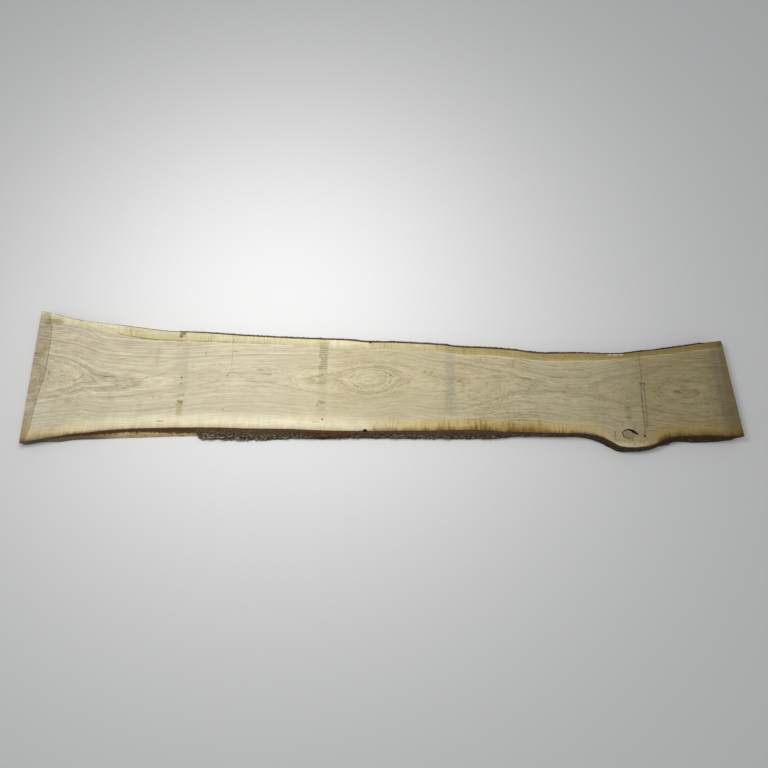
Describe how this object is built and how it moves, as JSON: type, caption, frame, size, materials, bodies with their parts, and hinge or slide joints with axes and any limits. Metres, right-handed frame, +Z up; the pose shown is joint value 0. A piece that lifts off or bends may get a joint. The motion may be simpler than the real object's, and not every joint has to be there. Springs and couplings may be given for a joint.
{
  "type": "live-edge oak tabletop board",
  "caption": "Long sawn oak board with waney edges, a side knot, square-cut ends and bark left on its edges, for a tabletop or bench.",
  "frame": {"origin": "under the middle of the board's bounding box, on the surface it lies on", "axes": "+X along the board from the wide root end to the crown end, +Y across it from the knot's edge to the far edge, +Z up out of the sawn top"},
  "size_m": [4.8906, 1.0284, 0.07],
  "materials": {
    "oak_wood": "rough sawn, unfinished, pale sapwood along both edges",
    "oak_bark": "rough furrowed bark, grey-brown with a red-brown inner layer"
  },
  "bodies": {
    "root": {"oak_slab": "oak_wood", "near_bark": "oak_bark", "far_bark": "oak_bark"}
  },
  "joints": []
}
